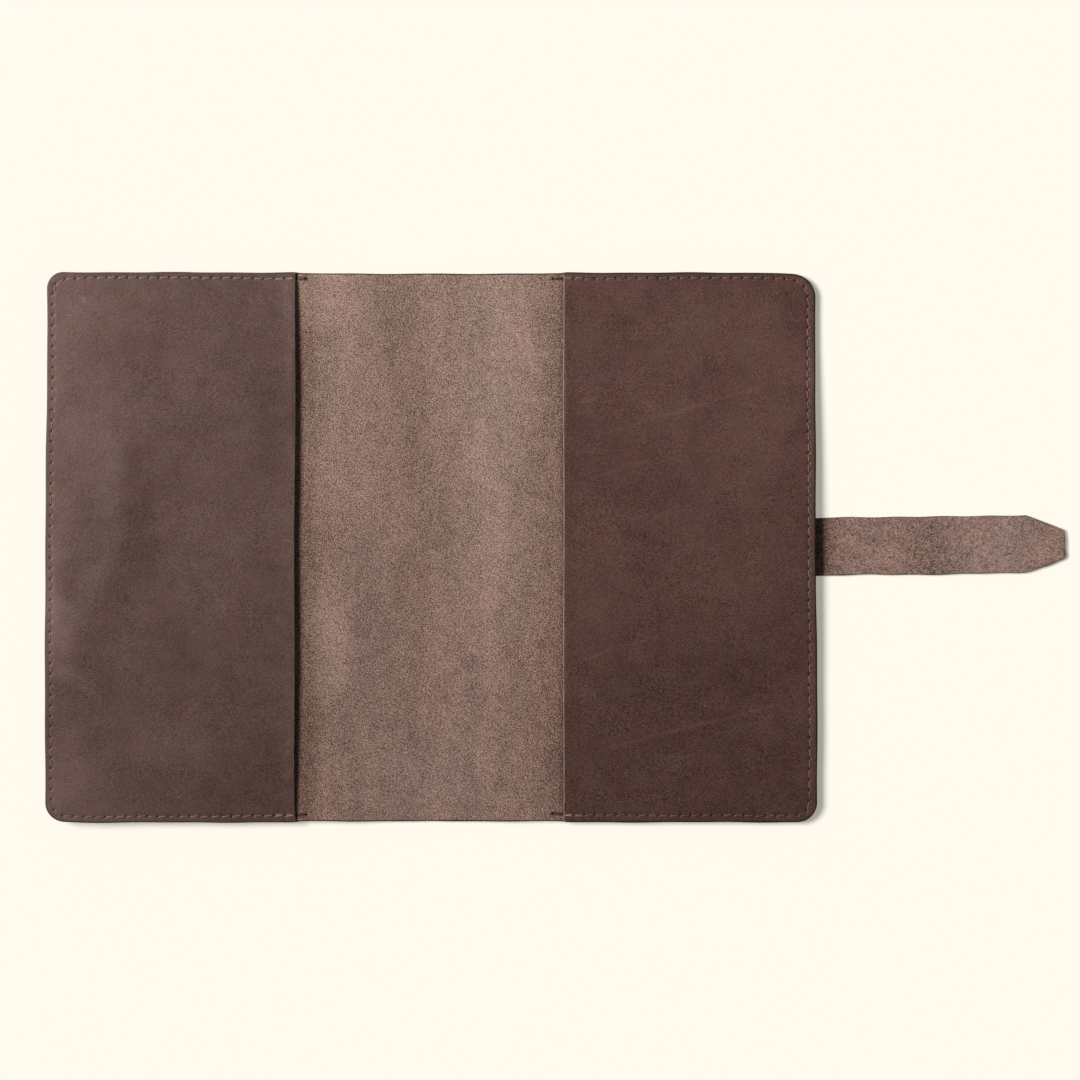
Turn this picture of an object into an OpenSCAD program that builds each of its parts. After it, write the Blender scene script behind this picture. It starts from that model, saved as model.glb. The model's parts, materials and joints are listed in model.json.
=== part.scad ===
// Leather notebook cover, laid open with its inside up.
// +X runs from the front cover to the strap's tip, +Y to the top edge, +Z up.
// The strap and the keeper stand on z = 0. The origin is the middle of the footprint.

/* [Cover] */
// Height of the cover along its spine
cover_h = 230; // [215:1:260]
// Width of a cover panel from its fold to its fore-edge
panel_w = 151; // [140:1:180]
// Width of the spine between its two folds
spine_w = 20; // [14:1:32]
// Thickness of the outer leather
cover_t = 1.8; // [1.4:0.1:2.4]
// Radius of the outer corners
corner_r = 8; // [6:0.5:12]

/* [Pockets] */
// Width of a pocket from the fore-edge to its open edge
pocket_w = 104.5; // [90:0.5:125]
// Thickness of the pocket leather
pocket_t = 1.2; // [0.8:0.1:1.6]
// Height of the space between the pocket and the outer leather
pocket_gap = 1.2; // [0.8:0.1:1.6]
// Width of the sewn border of a pocket
border_w = 5; // [5:0.5:8]

/* [Strap] */
// Width of the strap
strap_w = 24.3; // [18:0.1:30]
// Thickness of the strap
strap_t = 1.5; // [1.2:0.1:2]
// Length of the strap past the fore-edge
strap_reach = 104.6; // [98:0.1:125]
// Length of the strap sewn to the outside of the back cover
strap_hold = 38; // [34:1:50]
// Length of the cut corners at the strap's tip
tip_taper = 16.5; // [10:0.1:25]
// Width of the blunt end of the strap
tip_w = 12; // [6:0.5:16]

/* [Keeper] */
// Width of the keeper band along the strap
keeper_w = 20; // [12:1:28]
// Distance from the front fore-edge to the keeper's middle
keeper_inset = 48; // [40:1:60]
// Flat span of the keeper across the strap
keeper_span = 26.5; // [26.5:0.5:32]
// Thickness of the keeper band
keeper_t = 1.2; // [0.8:0.1:1.6]
// Height of the space under the keeper band
keeper_gap = 2.1; // [2.1:0.1:3]
// Length of each sewn end of the keeper
keeper_end = 11; // [10:1:16]

/* [Stitching] */
// Distance from an edge to its seam
stitch_inset = 2.4; // [2:0.1:2.8]
// Length of a stitch
stitch_pitch = 4.4; // [3.6:0.1:5]
// Thickness of the thread
thread_d = 0.6; // [0.4:0.1:0.8]

/* [Hidden] */
$fn = 48;

// Play at each fold, and clearances around the closed stack
fold_play = 0.15;
wrap_play = 0.6;
tip_play = 0.4;

// Thread stands this far out of the leather and goes this far into it
thread_rise = 0.25;
thread_leg = 0.8;
groove_w = 1.2;
groove_depth = 0.5;

// Slope of the keeper from its ends up to its flat span
keeper_ramp = 2;

// The field of a pocket laps over its sewn border by border_w - field_inset
field_inset = 3.5;

// Levels: outside and inside face of the outer leather
outside_z = strap_t;
inside_z = strap_t + cover_t;

// Places along X
spine_x = -strap_reach / 2;
back_fold_x = spine_x + spine_w / 2;
front_fold_x = spine_x - spine_w / 2;
fore_edge_x = back_fold_x + panel_w;
lower_fold_x = fore_edge_x + wrap_play;
wrap_len = 2 * cover_t + spine_w + tip_play;
upper_fold_x = lower_fold_x + wrap_len;
strap_end_x = fore_edge_x + strap_reach;

// The front cover leans on its keeper: the keeper's inner edge reaches z = 0
keeper_u = panel_w - keeper_inset;
keeper_depth = cover_t + keeper_gap + keeper_t;
keeper_edge_u = keeper_u - keeper_w / 2;
front_lean = atan(keeper_depth / keeper_edge_u)
    - asin(inside_z / norm([keeper_depth, keeper_edge_u]));

// Stitched boxes, whole stitches on each side
strap_box = [5 * stitch_pitch, 4 * stitch_pitch];
strap_box_u = panel_w - strap_hold + 3.5 + strap_box[0] / 2;
keeper_box = [3 * stitch_pitch, stitch_pitch];
keeper_box_v = keeper_span / 2 + keeper_ramp + keeper_end / 2 + 0.5;

// Seam of a pocket: straight, corner arc and half of the fore-edge, then mirrored
seam_r = corner_r - stitch_inset;
seam_run = pocket_w - corner_r + stitch_pitch;
seam_arc = PI / 2 * seam_r;
seam_half = seam_run + seam_arc + cover_h / 2 - corner_r;
seam_stitches = 2 * round(seam_half / stitch_pitch);

// ---- Frames of the two cover panels -------------------------------------------
// Inside a panel's frame, X runs from the fold to the fore-edge and z = 0 is the
// outside face of the leather.

module at_back() {
    translate([back_fold_x, 0, outside_z]) children();
}

module at_front() {
    translate([front_fold_x, 0, inside_z]) rotate([0, front_lean, 0])
        translate([0, 0, -cover_t]) mirror([1, 0, 0]) children();
}

// ---- Leather -------------------------------------------------------------------

// Plan of a panel from x = start to its fore-edge, with round fore-edge corners
module panel_plan(start, inset = 0) {
    r = corner_r - inset;
    half = cover_h / 2 - inset;
    edge = panel_w - inset;
    translate([start, -half]) square([edge - r - start, 2 * half]);
    translate([start, r - half]) square([edge - start, 2 * (half - r)]);
    for (side = [-1, 1]) translate([edge - r, side * (half - r)]) circle(r = r);
}

module cover_panel() {
    linear_extrude(cover_t) panel_plan(fold_play);
}

// Raised field of a pocket, lapped on its sewn border
module pocket_field() {
    translate([0, 0, cover_t + pocket_gap]) linear_extrude(pocket_t)
        panel_plan(panel_w - pocket_w, field_inset);
}

// Sewn border along the fore-edge
module side_border() {
    translate([0, 0, cover_t]) linear_extrude(pocket_t) intersection() {
        panel_plan(panel_w - pocket_w);
        translate([panel_w - border_w, -cover_h / 2]) square([border_w, cover_h]);
    }
}

// Sewn border along the top edge (side = 1) or the bottom edge (side = -1)
module end_border(side) {
    middle_v = side * (cover_h - border_w) / 2;
    translate([0, 0, cover_t]) linear_extrude(pocket_t) intersection() {
        panel_plan(panel_w - pocket_w);
        translate([panel_w - pocket_w, middle_v - border_w / 2])
            square([pocket_w - border_w, border_w]);
    }
}

// Length of strap leather from x = start to x = end
module strap_length(start, end) {
    translate([start, -strap_w / 2, 0]) cube([end - start, strap_w, strap_t]);
}

// Ring-shaped groove that sinks the strap's stitches below its outer face
module strap_groove() {
    translate([back_fold_x + strap_box_u, 0, 0]) linear_extrude(2 * groove_depth, center = true)
        difference() {
            square([strap_box[0] + groove_w, strap_box[1] + groove_w], center = true);
            square([strap_box[0] - groove_w, strap_box[1] - groove_w], center = true);
        }
}

// Sewn end of the keeper with its ramp, in the panel's frame
module keeper_foot(side) {
    near = keeper_span / 2;
    foot = near + keeper_ramp;
    translate([keeper_u, 0, 0]) rotate([90, 0, 90]) linear_extrude(keeper_w, center = true)
        polygon([
            [side * near, -keeper_gap], [side * foot, 0], [side * (foot + keeper_end), 0],
            [side * (foot + keeper_end), -keeper_t], [side * (foot + keeper_t / 2), -keeper_t],
            [side * near, -keeper_gap - keeper_t]
        ]);
}

// ---- Stitching -----------------------------------------------------------------

// One stitch along X: a bar on the leather at z = 0 with a leg into it at each end
module stitch(pitch) {
    half = pitch / 2 - 0.2;
    rotate([90, 0, 0]) linear_extrude(thread_d, center = true) polygon([
        [-half, -thread_leg], [thread_d - half, -thread_leg], [thread_d - half, 0],
        [half - thread_d, 0], [half - thread_d, -thread_leg], [half, -thread_leg],
        [half, thread_rise], [-half, thread_rise]
    ]);
}

// Place [x, y, angle] at distance s along a pocket's seam
function seam_at(s) =
    s > seam_half ? let (twin = seam_at(2 * seam_half - s)) [twin[0], -twin[1], -twin[2]]
    : s < seam_run ? [panel_w - corner_r - seam_run + s, cover_h / 2 - stitch_inset, 0]
    : s < seam_run + seam_arc ?
        let (turn = 90 * (s - seam_run) / seam_arc)
        [panel_w - corner_r + seam_r * sin(turn), cover_h / 2 - corner_r + seam_r * cos(turn), -turn]
    : [panel_w - stitch_inset, cover_h / 2 - corner_r - (s - seam_run - seam_arc), -90];

// Stitches of a pocket's seam. The first and the last lie past the pocket's open
// edge, at end_z; the rest lie at z. Side 1 faces up and side -1 faces down.
module pocket_seam(z, end_z, side) {
    pitch = 2 * seam_half / seam_stitches;
    for (i = [0 : seam_stitches - 1]) {
        place = seam_at((i + 0.5) * pitch);
        level = i == 0 || i == seam_stitches - 1 ? end_z : z;
        translate([place[0], place[1], level]) rotate([0, 0, place[2]])
            mirror([0, 0, side > 0 ? 0 : 1]) stitch(pitch);
    }
}

module needle_seam() { pocket_seam(cover_t + pocket_t, cover_t, 1); }
module bobbin_seam() { pocket_seam(0, 0, -1); }

// Stitches around a box of size [x, y] with its middle at place
module box_seam(place, size, side) {
    translate(place) mirror([0, 0, side > 0 ? 0 : 1]) for (end = [-1, 1]) {
        for (x = [(stitch_pitch - size[0]) / 2 : stitch_pitch : size[0] / 2])
            translate([x, end * size[1] / 2, 0]) stitch(stitch_pitch);
        for (y = [(stitch_pitch - size[1]) / 2 : stitch_pitch : size[1] / 2])
            translate([end * size[0] / 2, y, 0]) rotate([0, 0, 90]) stitch(stitch_pitch);
    }
}

// Needle thread of a keeper end, on the outside, and its bobbin thread inside
module keeper_needle(side) {
    box_seam([keeper_u, side * keeper_box_v, -keeper_t], keeper_box, -1);
}
module keeper_bobbin(side) {
    box_seam([keeper_u, side * keeper_box_v, cover_t], keeper_box, 1);
}

// ---- Sub-parts -----------------------------------------------------------------

module back_cover() { color("#6d5850") at_back() cover_panel(); }
module front_cover() { color("#6d5850") at_front() cover_panel(); }
module spine_panel() {
    color("#866d63") translate([spine_x, 0, outside_z + cover_t / 2])
        cube([spine_w - 2 * fold_play, cover_h, cover_t], center = true);
}

module back_pocket() { color("#543d37") at_back() pocket_field(); }
module back_pocket_top_border() { color("#543d37") at_back() end_border(1); }
module back_pocket_side_border() { color("#543d37") at_back() side_border(); }
module back_pocket_bottom_border() { color("#543d37") at_back() end_border(-1); }
module front_pocket() { color("#5f4a45") at_front() pocket_field(); }
module front_pocket_top_border() { color("#5f4a45") at_front() end_border(1); }
module front_pocket_side_border() { color("#5f4a45") at_front() side_border(); }
module front_pocket_bottom_border() { color("#5f4a45") at_front() end_border(-1); }

module strap_root() {
    color("#866d63") difference() {
        strap_length(fore_edge_x - strap_hold, lower_fold_x - fold_play);
        strap_groove();
    }
}
module strap_wrap() {
    color("#866d63") strap_length(lower_fold_x + fold_play, upper_fold_x - fold_play);
}
module strap_tip() {
    color("#866d63") linear_extrude(strap_t) polygon([
        [upper_fold_x + fold_play, -strap_w / 2], [strap_end_x - tip_taper, -strap_w / 2],
        [strap_end_x, -tip_w / 2], [strap_end_x, tip_w / 2],
        [strap_end_x - tip_taper, strap_w / 2], [upper_fold_x + fold_play, strap_w / 2]
    ]);
}

module keeper_band() {
    color("#5a4540") at_front() translate([keeper_u, 0, -keeper_gap - keeper_t / 2])
        cube([keeper_w, keeper_span, keeper_t], center = true);
}
module keeper_upper_end() { color("#5a4540") at_front() keeper_foot(1); }
module keeper_lower_end() { color("#5a4540") at_front() keeper_foot(-1); }

module back_pocket_needle_thread() { color("#8a6349") at_back() needle_seam(); }
module back_pocket_bobbin_thread() { color("#8a6349") at_back() bobbin_seam(); }
module front_pocket_needle_thread() { color("#9a7a5c") at_front() needle_seam(); }
module front_pocket_bobbin_thread() { color("#9a7a5c") at_front() bobbin_seam(); }
module strap_needle_thread() {
    color("#8a6349") at_back()
        box_seam([strap_box_u, 0, groove_depth - outside_z], strap_box, -1);
}
module strap_bobbin_thread() {
    color("#8a6349") at_back() box_seam([strap_box_u, 0, cover_t], strap_box, 1);
}
module keeper_upper_needle_thread() { color("#8a6349") at_front() keeper_needle(1); }
module keeper_upper_bobbin_thread() { color("#8a6349") at_front() keeper_bobbin(1); }
module keeper_lower_needle_thread() { color("#8a6349") at_front() keeper_needle(-1); }
module keeper_lower_bobbin_thread() { color("#8a6349") at_front() keeper_bobbin(-1); }

back_cover();
spine_panel();
front_cover();
back_pocket();
back_pocket_top_border();
back_pocket_side_border();
back_pocket_bottom_border();
front_pocket();
front_pocket_top_border();
front_pocket_side_border();
front_pocket_bottom_border();
strap_root();
strap_wrap();
strap_tip();
keeper_band();
keeper_upper_end();
keeper_lower_end();
back_pocket_needle_thread();
back_pocket_bobbin_thread();
front_pocket_needle_thread();
front_pocket_bobbin_thread();
strap_needle_thread();
strap_bobbin_thread();
keeper_upper_needle_thread();
keeper_upper_bobbin_thread();
keeper_lower_needle_thread();
keeper_lower_bobbin_thread();
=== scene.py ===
"""Leather notebook cover: its looks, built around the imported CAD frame.

Lengths are in millimetres until a mesh is made. The cover is cut flat: s runs along the
hide from the middle of the spine, positive towards the strap, v runs up the cover, and w
is the height above the hide's inside face. lay() says where such a point of the open
cover lies. p is the distance from the middle of the spine on either side, so p = |s|.
"""

import json
import math
import random
from collections import namedtuple

import bpy
import numpy as np
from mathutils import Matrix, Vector
from mathutils.geometry import delaunay_2d_cdt


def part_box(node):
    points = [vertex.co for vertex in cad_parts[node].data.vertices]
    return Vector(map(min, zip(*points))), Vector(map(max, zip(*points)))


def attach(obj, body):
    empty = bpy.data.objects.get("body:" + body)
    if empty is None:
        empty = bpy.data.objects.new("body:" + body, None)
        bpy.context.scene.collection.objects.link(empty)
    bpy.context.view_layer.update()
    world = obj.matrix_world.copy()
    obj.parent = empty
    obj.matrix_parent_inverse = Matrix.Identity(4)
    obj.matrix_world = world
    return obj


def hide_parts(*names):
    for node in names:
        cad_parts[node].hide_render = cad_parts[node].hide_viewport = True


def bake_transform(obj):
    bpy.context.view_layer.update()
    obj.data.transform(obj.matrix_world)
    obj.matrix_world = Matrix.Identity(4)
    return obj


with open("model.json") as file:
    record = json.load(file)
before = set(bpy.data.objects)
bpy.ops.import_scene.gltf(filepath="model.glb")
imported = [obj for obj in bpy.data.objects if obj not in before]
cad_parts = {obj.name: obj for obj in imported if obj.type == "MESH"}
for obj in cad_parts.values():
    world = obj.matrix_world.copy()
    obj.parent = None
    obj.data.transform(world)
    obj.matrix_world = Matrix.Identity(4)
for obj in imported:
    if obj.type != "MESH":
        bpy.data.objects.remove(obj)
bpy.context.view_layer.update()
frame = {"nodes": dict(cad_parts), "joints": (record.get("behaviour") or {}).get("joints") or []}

MM = 0.001

# ---- Sizes, read from the frame ---------------------------------------------------


def corners(node):
    """Lowest and highest corner of a CAD node at rest, in millimetres."""
    low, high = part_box(node)
    return np.array(low) / MM, np.array(high) / MM


JOINTS = {joint["name"]: joint for joint in frame["joints"]}


def joint_x(name):
    """Where a fold's hinge line stands along X."""
    return JOINTS[name]["pos_m"][0] / MM


BACK_FOLD_X = joint_x("back_fold")
FRONT_FOLD_X = joint_x("front_fold")
SPINE_X = (BACK_FOLD_X + FRONT_FOLD_X) / 2
HALF_SPINE = (BACK_FOLD_X - FRONT_FOLD_X) / 2
INSIDE_Z = JOINTS["back_fold"]["pos_m"][2] / MM
LEAN = math.radians(90 - JOINTS["front_fold"]["range_deg"][1])

COVER_LOW, COVER_HIGH = corners("back_cover")
COVER_T = COVER_HIGH[2] - COVER_LOW[2]
HALF_H = COVER_HIGH[1]
REACH = COVER_HIGH[0] - SPINE_X

POCKET_LOW = corners("back_pocket")[0]
POCKET_P = POCKET_LOW[0] - SPINE_X
POCKET_GAP = POCKET_LOW[2] - INSIDE_Z
BORDER_LOW, BORDER_HIGH = corners("back_pocket_side_border")
POCKET_T = BORDER_HIGH[2] - BORDER_LOW[2]

LOWER_FOLD_X = joint_x("strap_lower_fold")
UPPER_FOLD_X = joint_x("strap_upper_fold")
STRAP_ROOT_X = corners("strap_root")[0][0]
STRAP_END_X = corners("strap_tip")[1][0]
STRAP_T = corners("strap_wrap")[1][2]
STRAP_HALF = corners("strap_wrap")[1][1]
STRAP_BOX_LOW, STRAP_BOX_HIGH = corners("strap_needle_thread")

KEEPER_SPAN = corners("keeper_band")[1][1]
KEEPER_END = corners("keeper_upper_end")[1][1]


def front_panel_points(node):
    """A node's vertices as (u, w): from the front fold to the fore-edge, and up.

    The front cover's lean is taken out."""
    points = np.array([v.co for v in frame["nodes"][node].data.vertices]) / MM
    along = FRONT_FOLD_X - points[:, 0]
    up = points[:, 2] - INSIDE_Z
    u = along * math.cos(LEAN) + up * math.sin(LEAN)
    w = up * math.cos(LEAN) - along * math.sin(LEAN)
    return u, w


KEEPER_U, KEEPER_W = front_panel_points("keeper_band")
KEEPER_P = HALF_SPINE + (KEEPER_U.min() + KEEPER_U.max()) / 2
KEEPER_HALF = (KEEPER_U.max() - KEEPER_U.min()) / 2
KEEPER_T = KEEPER_W.max() - KEEPER_W.min()
KEEPER_GAP = -COVER_T - KEEPER_W.max()

# ---- Sizes of the finish ----------------------------------------------------------

CORNER_R = {"front": (7.0, 8.2), "back": (10.0, 8.6)}  # top and bottom fore-edge corner
EDGE_R = 0.55  # rounding of a burnished edge
MOUTH_R = 0.3  # rounding of the cut edge of a pocket's mouth
FOLD_HALF = 5.0  # a cover fold bends over this far to each side

STITCH = 4.4  # length of a stitch
SEAM_INSET = 2.4
PLY_R = 0.11  # the thread is two plies twisted together
PLY_OFFSET = 0.085
PLY_TWIST = 1.7  # length of one turn of the plies
THREAD_RISE = 0.13  # height of the thread's middle over the leather
THREAD_DIP = 0.8  # depth of its ends in the needle holes
THREAD_SHORT = 0.25  # its ends stop this far short of the holes' middles
THREAD_DIVE = 5  # how sharply it turns down into them
SLANT = math.radians(7)
SEWN_TWICE = 3  # a pocket seam's first and last stitches are sewn over again
HOLE_R = 0.42
HOLE_DEPTH = 0.42

SAG = 1.2  # the spine sinks this far, nearly to the table
RIPPLE = 0.2
HELD_UP = 0.85  # the strap holds the back cover's fore-edge up this far
TOP_DROOP = 1.2  # and its corners hang down this far
BOTTOM_DROOP = 0.2
STRAP_BOW = 0.24
MOUTH_P = {"front": POCKET_P, "back": POCKET_P - 1.0}  # where the pockets are cut off


def smooth(t):
    """Smoothstep from 0 at t = 0 to 1 at t = 1."""
    t = np.clip(t, 0.0, 1.0)
    return t * t * (3 - 2 * t)


def bell(x, width):
    """A bell curve: 1 at x = 0, falling to nearly 0 by twice its width."""
    return np.exp(-((x / width) ** 2))


def waves(s, v, seed, longest):
    """Five soft long waves, between about -1 and 1 in all, the same on each run."""
    draw = random.Random(seed)
    total = np.zeros(np.shape(s))
    for i in range(5):
        length = longest / (1 + 0.45 * i)
        angle = draw.uniform(0, math.pi)
        phase = draw.uniform(0, 2 * math.pi)
        along = s * math.cos(angle) + v * math.sin(angle)
        total = total + np.sin(2 * math.pi * along / length + phase) / (1 + 0.5 * i)
    return total / 2.2


# ---- How the open cover lies ------------------------------------------------------


def lean_lift(s):
    """Height that the front cover gains by leaning on its keeper."""
    u = -s - HALF_SPINE
    bend = np.clip(u + FOLD_HALF, 0, 2 * FOLD_HALF) ** 2 / (4 * FOLD_HALF)
    return math.sin(LEAN) * np.where(u > FOLD_HALF, u, bend)


def sag(s):
    """How far the hide sinks to the table between the strap and the keeper."""
    towards_strap = SAG * (1 - smooth((s - 2) / 42))
    towards_keeper = (SAG + lean_lift(s)) * (1 - smooth(-s / 38))
    return np.where(s > 0, towards_strap, towards_keeper)


def droop(s, v):
    """How far the back cover hangs down towards its fore-edge, beside the strap."""
    out = smooth((s - 108) / 50)
    upper = TOP_DROOP * smooth((v - 48) / 38)
    lower = BOTTOM_DROOP * smooth((-v - 60) / 50)
    held = HELD_UP * (1 - smooth((np.abs(v + 6.5) - 6) / 52))
    return out * (upper + lower - held)


def ripple(s, v):
    """Shallow waves of leather that doesn't lie quite flat, except at strap and keeper."""
    sideways = np.where(s > 0, smooth((s - 96) / 20), smooth((-s - 52) / 20))
    by_strap = sideways * (1 - smooth((np.abs(v) - 16) / 22))
    return RIPPLE * waves(s, v, seed=7, longest=118) * (1 - by_strap)


def trimmed(s, v):
    """Where the hand-cut outline puts a point: the cover isn't quite a rectangle."""
    front_top = 0.9 * smooth((v + 25) / 125) * smooth((-s - 60) / 100)
    back_bottom = 0.75 * smooth((25 - v) / 110) * smooth((s - 60) / 100)
    between_pockets = 1 - smooth((np.abs(s) - POCKET_P + 3) / 4)
    top_corner = 0.65 * smooth((s - 143) / 14) * smooth((v - 60) / 45)
    bottom_corner = 0.4 * smooth((-s - 143) / 14) * smooth((-v - 60) / 45)
    up = v * (1 - 0.0035 * between_pockets) - top_corner + bottom_corner
    return s + front_top + back_bottom, up


def lay(s, v, w):
    """Where a point of the flat-cut cover lies, in the row frame."""
    height = INSIDE_Z + w + lean_lift(s) - sag(s) - droop(s, v) + ripple(s, v)
    along, up = trimmed(s, v)
    return np.stack([SPINE_X + along, up, height], axis=-1)


def lay_strap(x, v, w):
    """Where a point of the strap lies. Its w is the height above the table."""
    out = smooth((x - 102) / 16)
    past = np.clip(x - LOWER_FOLD_X, 0, None)
    under_hide = (ripple(x - SPINE_X, v) - droop(x - SPINE_X, v)) * (1 - out)
    drift = 0.35 * out + 0.0105 * past + 0.1 * np.sin(past / 9.5) * smooth(past / 20)
    bow = STRAP_BOW * smooth((x - 140) / 70) + 0.05 * (1 + np.sin(v / 4 + x / 17)) * out
    return np.stack([x, v + drift, w + under_hide + bow], axis=-1)


def edge_depth(side, p, v):
    """Distance from the outline of the cover, on the leather."""
    top_r, bottom_r = CORNER_R[side]
    r = np.where(v > 0, top_r, bottom_r)
    a = p - (REACH - r)
    b = np.abs(v) - (HALF_H - r)
    outside = np.hypot(np.clip(a, 0, None), np.clip(b, 0, None))
    return r - outside - np.minimum(np.maximum(a, b), 0)


# ---- Outlines -----------------------------------------------------------------------


def straight(start, end, step):
    """Points from start up to, but not at, end, about step apart."""
    start = np.array(start, float)
    end = np.array(end, float)
    count = max(1, round(np.linalg.norm(end - start) / step))
    t = np.arange(count)[:, None] / count
    return start + (end - start) * t


def arc(middle, r, start, end, step):
    """Points on a circle from angle start up to, but not at, end, in degrees."""
    count = max(3, round(math.radians(abs(end - start)) * r / step))
    turn = np.radians(start + (end - start) * np.arange(count) / count)
    return np.array(middle) + r * np.stack([np.cos(turn), np.sin(turn)], axis=1)


def rim(side, start, step=1.1):
    """The cover's edge from p = start along the top, round the fore-edge, and back.

    Gives points (p, v) and outward normals, wavy by a tenth of a millimetre."""
    top_r, bottom_r = CORNER_R[side]
    fine = 0.6 * step
    parts = [
        straight((start, HALF_H), (REACH - top_r, HALF_H), step),
        arc((REACH - top_r, HALF_H - top_r), top_r, 90, 0, fine),
        straight((REACH, HALF_H - top_r), (REACH, bottom_r - HALF_H), step),
        arc((REACH - bottom_r, bottom_r - HALF_H), bottom_r, 0, -90, fine),
        straight((REACH - bottom_r, -HALF_H), (start, -HALF_H), step),
        np.array([[start, -HALF_H]]),
    ]
    points = np.concatenate(parts)
    ahead = np.diff(points, axis=0, append=points[-1:])
    behind = np.diff(points, axis=0, prepend=points[:1])
    tangent = ahead + behind
    tangent[0] = ahead[0]
    tangent[-1] = behind[-1]
    tangent = tangent / np.linalg.norm(tangent, axis=1)[:, None]
    normals = np.stack([-tangent[:, 1], tangent[:, 0]], axis=1)
    p, v = points.T
    wave = 0.1 * np.sin(p / 9.3 + v / 14.1 + 0.7) + 0.07 * np.sin(p / 4.1 - v / 6.2)
    return points + normals * wave[:, None], normals


def seam_holes(side):
    """Needle holes of a pocket's seam, from one stitch past its open edge, as (p, v)."""
    points, normals = rim(side, MOUTH_P[side] - STITCH, step=0.5)
    steps = np.linalg.norm(np.diff(points, axis=0), axis=1)
    along = np.concatenate([[0], np.cumsum(steps)])
    wander = 0.16 * np.sin(along / 23 + 1.2) + 0.09 * np.sin(along / 7.1)
    at_bottom = smooth((14 - HALF_H - points[:, 1]) / 10)
    at_fore_edge = smooth((points[:, 0] - REACH + 14) / 10)
    if side == "front":
        wander = wander + 0.9 * bell(along - 106, 9)  # one swerve in the sewing
        inset = SEAM_INSET + 0.4 * at_bottom
    else:
        inset = SEAM_INSET + 0.7 * np.maximum(at_bottom, at_fore_edge)
    ends = smooth(along / 8) * smooth((along[-1] - along) / 8)
    line = points - normals * (inset + wander * ends)[:, None]
    steps = np.linalg.norm(np.diff(line, axis=0), axis=1)
    along = np.concatenate([[0], np.cumsum(steps)])
    count = round(along[-1] / STITCH)
    marks = np.linspace(0, along[-1], count + 1)
    return np.stack([np.interp(marks, along, line[:, k]) for k in (0, 1)], axis=1)


HOLES = {side: seam_holes(side) for side in CORNER_R}
SIGN = {"front": -1, "back": 1}


def box_holes(low, high, across, up):
    """Needle holes round a box from low to high, with so many stitches each way."""
    xs = np.linspace(low[0], high[0], across + 1)
    ys = np.linspace(low[1], high[1], up + 1)
    top = [(x, high[1]) for x in xs]
    right = [(high[0], y) for y in ys[-2::-1]]
    bottom = [(x, low[1]) for x in xs[-2::-1]]
    left = [(low[0], y) for y in ys[1:]]
    return np.array(top + right + bottom + left)


THREAD_HALF = 0.3  # the frame's thread boxes reach this far past their holes
STRAP_HOLES = box_holes(
    STRAP_BOX_LOW[:2] + THREAD_HALF, STRAP_BOX_HIGH[:2] - THREAD_HALF, 5, 4
)
KEEPER_HOLES = {}
for end_name in ("upper", "lower"):
    keeper_low, keeper_high = corners(f"keeper_{end_name}_needle_thread")
    keeper_holes = box_holes(keeper_low[:2] + THREAD_HALF, keeper_high[:2] - THREAD_HALF, 3, 1)
    KEEPER_HOLES[end_name] = keeper_holes - np.array([SPINE_X, 0])
BACK_BOX_HOLES = STRAP_HOLES - np.array([SPINE_X, 0])  # the strap's, on the back cover
NO_POINTS = np.zeros((0, 2))


def nearest(points, targets):
    """Distance from each point to the nearest target."""
    if len(targets) == 0:
        return np.full(len(points), 1e3)
    gaps = points[:, None, :] - targets[None, :, :]
    return np.sqrt((gaps**2).sum(-1)).min(1)


def nearest_on_line(s, v, line):
    """Distance from each point (s, v) to the nearest place on a line of points."""
    points = np.stack([s, v], axis=1)
    best = np.full(len(points), 1e3)
    for a, b in zip(line[:-1], line[1:]):
        d = b - a
        t = np.clip((points - a) @ d / (d @ d), 0, 1)
        gaps = points - a - t[:, None] * d
        best = np.minimum(best, np.hypot(gaps[:, 0], gaps[:, 1]))
    return best


# ---- Leather pieces -----------------------------------------------------------------

# A piece's outline: its points, outward normals, edge rounding and edge material. The
# material is a number in the piece's list, where 0 is its top and 1 is its bottom.
Outline = namedtuple("Outline", "points normals radius finish")
EDGE_FINISH = 2
MOUTH_FINISH = 3

RING_INSETS = (0.95, 1.5, 2.0, 2.4, 2.8, 3.5, 4.5, 5.8)
HOLE_RINGS = (0.3, 0.62)
HOLE_CLEARANCE = 0.3  # other points stay this far from those round a hole
LATTICE_ROW = 0.87  # its rows are this share of its spacing apart
WALL_LEVELS = (0.0, 0.06, 0.2, 0.4, 0.6, 0.8, 0.94, 1.0)


def wall_bulge(level):
    """How far a rounded edge stands out at a level, from 0 at its faces to 1."""
    return (1 - abs(2 * level - 1) ** 3) ** (1 / 2.4)


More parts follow.
